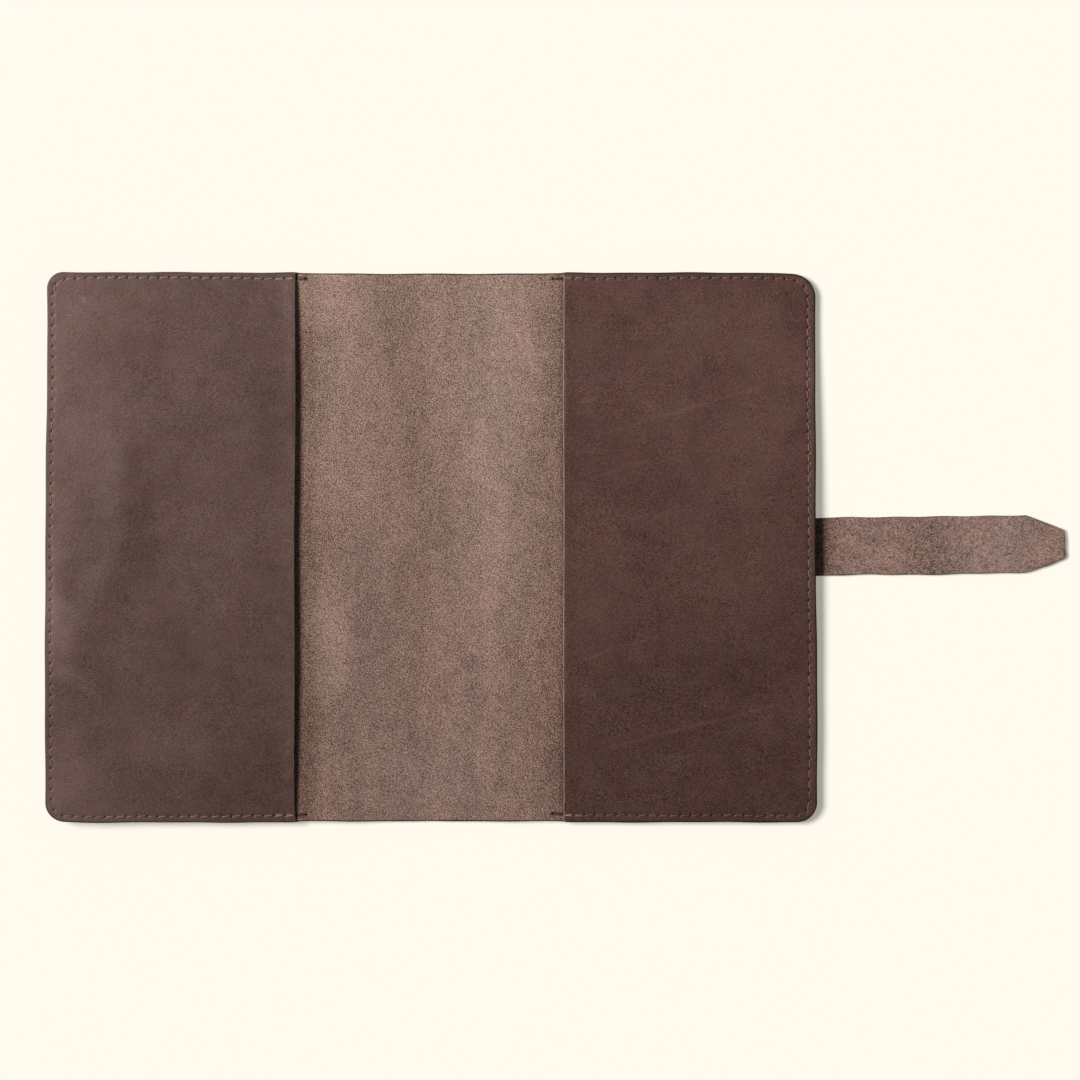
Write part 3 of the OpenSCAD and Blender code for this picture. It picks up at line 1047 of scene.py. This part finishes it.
def grain_leather(name, browns, rim_colour, grain=1.0, marks=no_marks):
    """Waxed pull-up leather seen from its grain side, with a weathered or burnished rim.

    grain is how strongly its grain shows, and marks(g, rest) gives the shares of its
    own marks: creases, scuffs and tone, and painted sheen, highlights and shade."""
    dark, light, red = browns
    g = Graph(name)
    rest = g.attribute("rest", "Vector")
    clouds = g.noise(rest, 40, 3, 0.55, 0.4)
    blotches = g.noise(rest, 9, 3, 0.6, 0.3)
    mottle = g.noise(rest, 2.2, 4, 0.65)
    fine = g.noise(g.stretched(rest, 30, (0.8, 1.15, 1.0)), 0.42, 2, 0.6)
    creased = g.warped(g.stretched(rest, 25, (0.75, 1.25, 1.0)), 1.6, 0.25)
    pebbles = g.cells(creased, 0.85)
    streak = g.noise(g.stretched(rest, 16, (0.1, 1.0, 1.0)), 3.2, 4, 0.6, 0.6)
    scuff = g.noise(g.stretched(rest, -20, (0.5, 1.6, 1.0)), 2.4, 6, 0.75)

    colour = g.mix(g.span(clouds, 0.32, 0.68), dark, light)
    reddish = g.span(g.noise(rest, 6, 4, 0.65, 0.8), 0.42, 0.7, 0.0, 0.64)
    colour = g.mix(reddish, colour, red)
    shares = [
        g.swing(blotches, 0.055),
        g.swing(mottle, 0.025),
        g.swing(fine, 0.45 * grain, 0.24),
        g.span(pebbles, 0.0, 0.75, 0.14 * grain, -0.14 * grain),
        g.swing(streak, 0.035),
        g.span(scuff, 0.68, 0.82, 0.0, 0.3),
    ]
    colour = g.shade(colour, shares + marks(g, rest))

    edge = g.attribute("edge_mm")
    # Painted shade: a little darker along the seam's pressed groove
    colour = g.brighten(colour, g.span(g.attribute("seam_mm"), 0.2, 0.7, 0.92, 1.0))
    # Painted shade: the needle holes are coloured dark, as if in their own shadow
    hole = g.span(g.attribute("hole_mm"), 0.54, 0.2, 0.0, 0.8)
    colour = g.mix(hole, colour, GRAIN_HOLE_SHADE)
    colour = g.mix(g.span(edge, 1.2, 0.4, 0.0, 0.75), colour, rim_colour)

    rough = g.span(blotches, 0.3, 0.7, 0.44, 0.54)
    rough = g.math("ADD", rough, g.swing(fine, 0.06))
    g.bump([(mottle, 0.05), (pebbles, -0.05), (fine, 0.05)])
    return g.finish(colour, rough, Specular_IOR_Level=0.3)


def front_marks(g, rest):
    """Marks of the front pocket: painted sheen that makes it pale at its fore-edge, painted
    shade beside its soft fold and towards its foot, crinkles painted as light and shade, and
    scuffs.
    """
    soft = g.warped(rest, 22, 7)
    shares = g.spots(
        soft,
        # The first five spots are painted sheen: paler and greyer along the fore-edge, where the
        # key light glances off the leather
        bloom=((-168, 62), (52, 100), 0.4),
        upper_corner=((-150, 108), (62, 34), 0.26),
        rubbed=((-165, -10), (19, 110), 0.52),
        worn=((-162, -24), (17, 46), 0.6),
        lower_corner=((-162, -108), (48, 40), 0.46),
        by_mouth=((-70, 52), (26, 42), -0.18),
        faint=((-116, -78), (30, 16), 0.17),
        pale=((-106, 44), (26, 18), 0.14),
        # Painted shade: darker towards the bottom, where the key light falls off
        foot=((-66, -122), (66, 90), -0.19),
        # Painted shade: a dark band beside the soft fold, on its slope away from the key light,
        # here and in the next spot
        hollow=((-124, 6), (14, 46), -0.16),
        below_hollow=((-140, -50), (34, 22), -0.12, 35),
    )
    # Painted light and shade: crinkles drawn as pale and dark streaks, with no relief of their
    # own
    folds = g.noise(g.warped(g.stretched(rest, 6, (0.3, 1.5, 1.0)), 5, 0.8), 0.62, 2, 0.5)
    crinkles = g.math("MULTIPLY", g.swing(folds, 0.3), g.spot(soft, (-148, -62), (15, 12)))
    shares += g.spots(
        g.warped(rest, 1.6, 0.5),
        nick=((-145.5, 103), (1.3, 3.0), 0.6, 12),
        scuff=((-151.7, 97), (2.6, 0.7), 0.8, -8),
        scratch=((-60, 2.9), (3.6, 0.5), 0.8, -17),
    )
    return shares + [crinkles]


def back_marks(g, rest):
    """Marks of the back pocket: painted highlights along long faint creases that rise to the
    fore-edge, a painted shadow under the lowest, and painted shade that grows towards the
    bottom.
    """
    # Painted highlights along faint creases, and a painted shadow under the lowest one
    creases = g.spots(
        g.warped(rest, 14, 0.8),
        upper=((104, 57), (60, 1.5), 0.26, 16.5),
        under=((80, 33), (34, 1.4), 0.14, 15.5),
        middle=((86, -40), (40, 1.5), 0.16, 16.5),
        lower=((108, -75), (60, 1.4), 0.24, 14.5),
        shadow=((108.5, -77.6), (60, 2.4), -0.1, 14.5),
    )
    return creases + g.spots(
        g.warped(rest, 22, 7),
        # Painted fall-off of the key light: darker at the foot and the lower middle, paler at
        # the upper fore-edge
        foot=((98, -140), (110, 130), -0.2),
        pale=((138, 68), (58, 62), 0.27),
        dull=((104, -48), (52, 46), -0.17),
    )


def flesh_leather(name, browns, contrast, marks):
    """The matte flesh side of the hide. contrast is how strongly its fibres show."""
    grey, pink, red = browns
    g = Graph(name)
    rest = g.attribute("rest", "Vector")
    bands = g.noise(g.stretched(rest, 4, (1.0, 0.28, 1.0)), 17, 3, 0.6, 0.5)
    patches = g.noise(rest, 6.5, 4, 0.65, 0.6)
    nap = g.noise(g.stretched(rest, 68, (0.8, 1.1, 1.0)), 0.42, 2, 0.6, 0.3)
    fibre = g.noise(g.stretched(rest, 60, (0.6, 1.1, 1.0)), 0.85, 4, 0.65, 0.9)
    clumps = g.noise(rest, 2.4, 4, 0.66, 1.2)
    pits = g.cells(g.stretched(rest, 15, (1.0, 0.8, 1.0)), 1.3)

    colour = g.mix(g.span(bands, 0.34, 0.66), grey, pink)
    colour = g.mix(g.span(patches, 0.45, 0.7, 0.0, 0.35), colour, red)
    shares = [
        g.swing(nap, 1.04 * contrast, 0.22),
        g.swing(fibre, 0.33 * contrast),
        g.swing(clumps, 0.11),
        g.swing(patches, 0.12),
        g.swing(bands, 0.07),
        g.span(pits, 0.24, 0.08, 0.0, -0.4 * contrast),
    ]
    colour = g.shade(colour, shares + marks(g, rest))
    edge = g.attribute("edge_mm")
    colour = g.mix(g.span(edge, 0.7, 0.2, 0.0, 0.4), colour, FLESH_RIM)
    # Painted shade: the needle holes are coloured dark, as if in their own shadow
    hole = g.span(g.attribute("hole_mm"), 1.0, 0.45)
    colour = g.mix(hole, colour, FLESH_HOLE_SHADE)
    g.bump([(clumps, 0.08), (fibre, 0.1), (nap, 0.08)])
    return g.finish(
        colour, 0.93, Specular_IOR_Level=0.15, Sheen_Weight=0.1, Sheen_Roughness=0.6
    )


def hide_marks(g, rest):
    """Marks of the hide's inside: painted shade and painted highlight in bands down the spine,
    painted shadow beside the front pocket's mouth, darker beside the back pocket's mouth,
    painted shade at the seams' end holes, and tone patches.
    """
    shares = g.spots(
        g.warped(rest, 12, 3.5),
        # Painted shade and painted highlight: the first spot darkens the spine where its sag
        # slopes away from the key light, the second pales it where the sag slopes towards it
        hollow=((-8, 20), (17, 190), -0.13, 2),
        ridge=((27, 66), (22, 150), 0.18, -2),
        pale=((-44, 110), (34, 60), 0.14),
        patch=((-44, -40), (22, 34), 0.22),
        foot=((0, -98), (42, 34), 0.18),
        low_ridge=((44, -62), (26, 72), -0.17),
        upper_dull=((-42, 6), (13, 34), -0.17),
        lower_dull=((-47, -76), (14, 16), -0.2),
        by_back=((57, -10), (17, 400), -0.26),
        # Painted shadow and darker flesh right of the front pocket's mouth, widening the shadow
        # that the mouth casts; the next spot widens it near the top
        by_front=((-58, -80), (16, 170), -0.34),
        upper_front=((-55, 84), (15, 42), -0.24),
    )
    shares += g.spots(
        rest,
        back_line=((MOUTH_P["back"] + 0.6, 0), (3.6, 600), -0.36),
        # Painted shadow: the soft tail of the shadow that the front pocket's mouth casts
        front_line=((5.0 - MOUTH_P["front"], 0), (6.0, 600), -0.2),
    )
    for side, sign in SIGN.items():
        for v in HOLES[side][[0, -1], 1]:
            # Painted shade of the needle holes at both ends of the stitch that lies on the flesh
            seam_end = (sign * (MOUTH_P[side] - 0.5 * STITCH), float(v))
            shares.append(g.spot(rest, seam_end, (3.8, 1.3), -1.0))
    return shares


def strap_marks(g, rest):
    """Marks of the strap's inside: painted shadow beside the cover's edge, and tone patches."""
    edge_x = COVER_HIGH[0]
    return g.spots(
        rest,
        # Painted shadow: darker next to the cover's edge, widening the shadow that the edge
        # casts
        rubbed=((edge_x + 3, 4), (12, 40), -0.4),
        dull=((edge_x + 43, 2), (17, 30), -0.2),
        pale=((edge_x + 78, -2), (30, 30), 0.2),
    )


def cut_edge(name, colour, roughness):
    """A cut edge, with the layers of its fibres."""
    g = Graph(name)
    rest = g.attribute("rest", "Vector")
    layers = g.noise(g.stretched(rest, 0, (0.12, 0.12, 2.2)), 0.55, 3, 0.6)
    patches = g.noise(rest, 5, 3, 0.6)
    tone = g.math(
        "MULTIPLY", g.span(layers, 0.3, 0.7, 0.7, 1.35), g.span(patches, 0.3, 0.7, 0.8, 1.2)
    )
    g.bump([(layers, 0.05)])
    return g.finish(g.brighten(colour, tone), roughness, Specular_IOR_Level=0.35)


def waxed_thread(name):
    """Twisted waxed thread. The mesh's tone runs from worn brown to tan."""
    g = Graph(name)
    rest = g.attribute("rest", "Vector")
    fibres = g.noise(rest, 0.22, 3, 0.6)
    colour = g.mix(g.attribute("tone"), WORN_THREAD, TAN_THREAD)
    colour = g.brighten(colour, g.span(fibres, 0.25, 0.75, 0.72, 1.28))
    g.bump([(fibres, 0.05)])
    return g.finish(colour, 0.65, Specular_IOR_Level=0.3)


# ---- Stage --------------------------------------------------------------------------

# The camera and the cover's place in its view, in millimetres
CAMERA_X = SPINE_X + 45.7
CAMERA_Y = 3.1
CAMERA_HEIGHT = 2000.0
SEEN_WIDTH = 452.4
SENSOR = 36.0

# Lights and table top, in metres and watts
CREAM = (1.0, 0.957, 0.856)
FLOOR_HALF = 8.0
FLOOR_TONE = 0.62
FLOOR_GLOW = 0.325
FILL = 0.11
KEY_FROM = (-1.15, 0.545, 1.01)
KEY_AIM = (0.43, 0.26, 0)
KEY_SIZE = 0.54
KEY_POWER = 10.0
KEY_SPREAD = 80
SUN_FROM = (-0.63, 0.16, 0.73)
SUN_ANGLE = 26
SUN_STRENGTH = 4.17


def make_camera():
    """A camera straight above the cover, framed as in the photograph."""
    data = bpy.data.cameras.new("camera")
    data.sensor_width = SENSOR
    data.lens = SENSOR * CAMERA_HEIGHT / SEEN_WIDTH
    data.clip_end = 50
    camera = bpy.data.objects.new("camera", data)
    camera.location = (CAMERA_X * MM, CAMERA_Y * MM, CAMERA_HEIGHT * MM)
    bpy.context.scene.collection.objects.link(camera)
    bpy.context.scene.camera = camera


def aimed(name, data, place, target):
    """Puts a light at a place, facing a target."""
    light = bpy.data.objects.new(name, data)
    light.location = place
    away = Vector(place) - Vector(target)
    light.rotation_mode = "QUATERNION"
    light.rotation_quaternion = away.to_track_quat("Z", "Y")
    bpy.context.scene.collection.objects.link(light)
    return light


def only_lights(light, objects):
    """Limits a light to some objects. Everything still casts shadows in it."""
    group = bpy.data.collections.new(light.name + "_lights")
    for obj in objects:
        group.objects.link(obj)
    light.light_linking.receiver_collection = group


def make_floor():
    """A plain cream table top, a little self-lit like an overexposed sweep."""
    mesh = bpy.data.meshes.new("floor")
    corner_signs = ((-1, -1), (1, -1), (1, 1), (-1, 1))
    points = [(x * FLOOR_HALF, y * FLOOR_HALF, 0) for x, y in corner_signs]
    mesh.from_pydata(points, [], [(0, 1, 2, 3)])
    floor = bpy.data.objects.new("floor", mesh)
    bpy.context.scene.collection.objects.link(floor)
    g = Graph("floor")
    mesh.materials.append(g.finish(
        tuple(FLOOR_TONE * c for c in CREAM), 1.0, Specular_IOR_Level=0.0,
        Emission_Color=(*CREAM, 1), Emission_Strength=FLOOR_GLOW,
    ))
    return floor


def make_world():
    """Weak even fill, with a pale backdrop where the camera sees past the floor."""
    world = bpy.data.worlds.new("world")
    world.use_nodes = True
    bpy.context.scene.world = world
    nodes = world.node_tree.nodes
    links = world.node_tree.links
    nodes.clear()
    fill = nodes.new("ShaderNodeBackground")
    fill.inputs["Color"].default_value = (1, 0.98, 0.95, 1)
    fill.inputs["Strength"].default_value = FILL
    seen = nodes.new("ShaderNodeBackground")
    seen.inputs["Color"].default_value = (*CREAM, 1)
    path = nodes.new("ShaderNodeLightPath")
    mix = nodes.new("ShaderNodeMixShader")
    output = nodes.new("ShaderNodeOutputWorld")
    links.new(path.outputs["Is Camera Ray"], mix.inputs[0])
    links.new(fill.outputs[0], mix.inputs[1])
    links.new(seen.outputs[0], mix.inputs[2])
    links.new(mix.outputs[0], output.inputs[0])


def make_lights(floor, pieces):
    """A soft key from the left for the leather, and a sun for the floor alone.

    The key is aimed past the cover, so that it fades down the picture and not across."""
    data = bpy.data.lights.new("key", "AREA")
    data.shape = "SQUARE"
    data.size = KEY_SIZE
    data.energy = KEY_POWER
    data.spread = math.radians(KEY_SPREAD)
    only_lights(aimed("key", data, KEY_FROM, KEY_AIM), pieces)
    data = bpy.data.lights.new("floor_sun", "SUN")
    data.angle = math.radians(SUN_ANGLE)
    data.energy = SUN_STRENGTH
    only_lights(aimed("floor_sun", data, SUN_FROM, (0, 0, 0)), [floor])


# ---- The cover ----------------------------------------------------------------------


def fold(piece):
    """Bakes a piece's placement into its mesh."""
    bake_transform(piece)


def build():
    """Every piece of the cover, in the place of its CAD nodes; the pockets, keeper and threads
    go on their bodies.
    """
    outside = grain_leather("outer_grain", OUTER_BROWNS, OUTER_RIM)
    flesh = flesh_leather("hide_flesh", HIDE_FLESH, contrast=1.0, marks=hide_marks)
    strap_flesh = flesh_leather("strap_flesh", STRAP_FLESH, contrast=0.7, marks=strap_marks)
    grains = {
        "front": grain_leather(
            "front_pocket_grain", FRONT_BROWNS, FRONT_RIM, marks=front_marks
        ),
        "back": grain_leather(
            "back_pocket_grain", BACK_BROWNS, BACK_RIM, grain=1.25, marks=back_marks
        ),
    }
    cut_edges = {
        "front": cut_edge("worn_edge", WORN_EDGE, roughness=0.5),
        "back": cut_edge("burnished_edge", BURNISHED_EDGE, roughness=0.45),
    }
    mouth_edge = cut_edge("pocket_mouth_edge", MOUTH_EDGE, roughness=0.7)
    strap_edge = cut_edge("strap_edge", STRAP_EDGE, roughness=0.75)
    thread = waxed_thread("tan_thread")
    pieces = []
    for side in SIGN:
        edge = cut_edges[side]
        hide = build_hide(side, [flesh, outside, edge])
        leather = pocket(side, [grains[side], flesh, edge, mouth_edge])
        pieces += [hide, *sew_pocket(side, leather, thread)]
    pieces += build_strap(strap_flesh, outside, strap_edge, thread)
    pieces += build_keeper(flesh, outside, cut_edges["front"], thread)
    return pieces


def build_hide(side, materials):
    """Half of the outer hide, in the place of its CAD nodes."""
    hide = hide_half(side, materials)
    if side == "front":
        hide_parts("front_cover", "spine_panel")
        fold(hide)
    else:
        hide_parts("back_cover")
        fold(hide)
    return hide


def put_threads(seam, needle, bobbin, body):
    """Puts a seam's two threads on their body, in the place of their CAD nodes."""
    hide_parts(f"{seam}_needle_thread")
    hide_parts(f"{seam}_bobbin_thread")
    for piece in (needle, bobbin):
        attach(piece, body)
    return [needle, bobbin]


def sew_pocket(side, leather, thread):
    """A pocket and the two threads of its seam, on their cover."""
    needle = pocket_seam(side, True, thread)
    bobbin = pocket_seam(side, False, thread)
    borders = [f"{side}_pocket_{where}_border" for where in ("top", "side", "bottom")]
    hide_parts(f"{side}_pocket", *borders)
    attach(leather, f"{side}_cover")
    return [leather, *put_threads(f"{side}_pocket", needle, bobbin, f"{side}_cover")]


def build_strap(flesh, outside, edge, thread):
    """The strap and the box of stitches that holds it."""
    lower = strap_lower([flesh, outside, edge])
    upper = strap_upper([flesh, outside, edge])
    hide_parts("strap_root", "strap_wrap")
    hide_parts("strap_tip")
    fold(lower)
    fold(upper)
    outer_face = ring_stitches(STRAP_HOLES, w=0.5, tone=0.3)
    needle = sew("strap_seam_needle", outer_face, -1, lay_strap, thread, seed=60)
    inner_face = ring_stitches(BACK_BOX_HOLES, w=0.0, tone=0.3)
    bobbin = sew("strap_seam_bobbin", inner_face, 1, lay, thread, seed=61)
    return [lower, upper, *put_threads("strap", needle, bobbin, "back_cover")]


def build_keeper(flesh, outside, edge, thread):
    """The keeper and the two boxes of stitches that hold it."""
    band = keeper([flesh, outside, edge])
    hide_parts("keeper_band", "keeper_upper_end", "keeper_lower_end")
    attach(band, "front_cover")
    pieces = [band]
    for number, (end, holes) in enumerate(KEEPER_HOLES.items()):
        seam = f"keeper_{end}"
        outer_face = ring_stitches(holes, w=0.05 - COVER_T - KEEPER_T, tone=0.35)
        needle = sew(f"{seam}_seam_needle", outer_face, -1, lay, thread, seed=70 + number)
        inner_face = ring_stitches(holes, w=0.0, tone=0.35)
        bobbin = sew(f"{seam}_seam_bobbin", inner_face, 1, lay, thread, seed=80 + number)
        pieces += put_threads(seam, needle, bobbin, "front_cover")
    return pieces


make_camera()
bpy.context.scene.view_settings.view_transform = "Standard"
make_world()
make_lights(make_floor(), build())
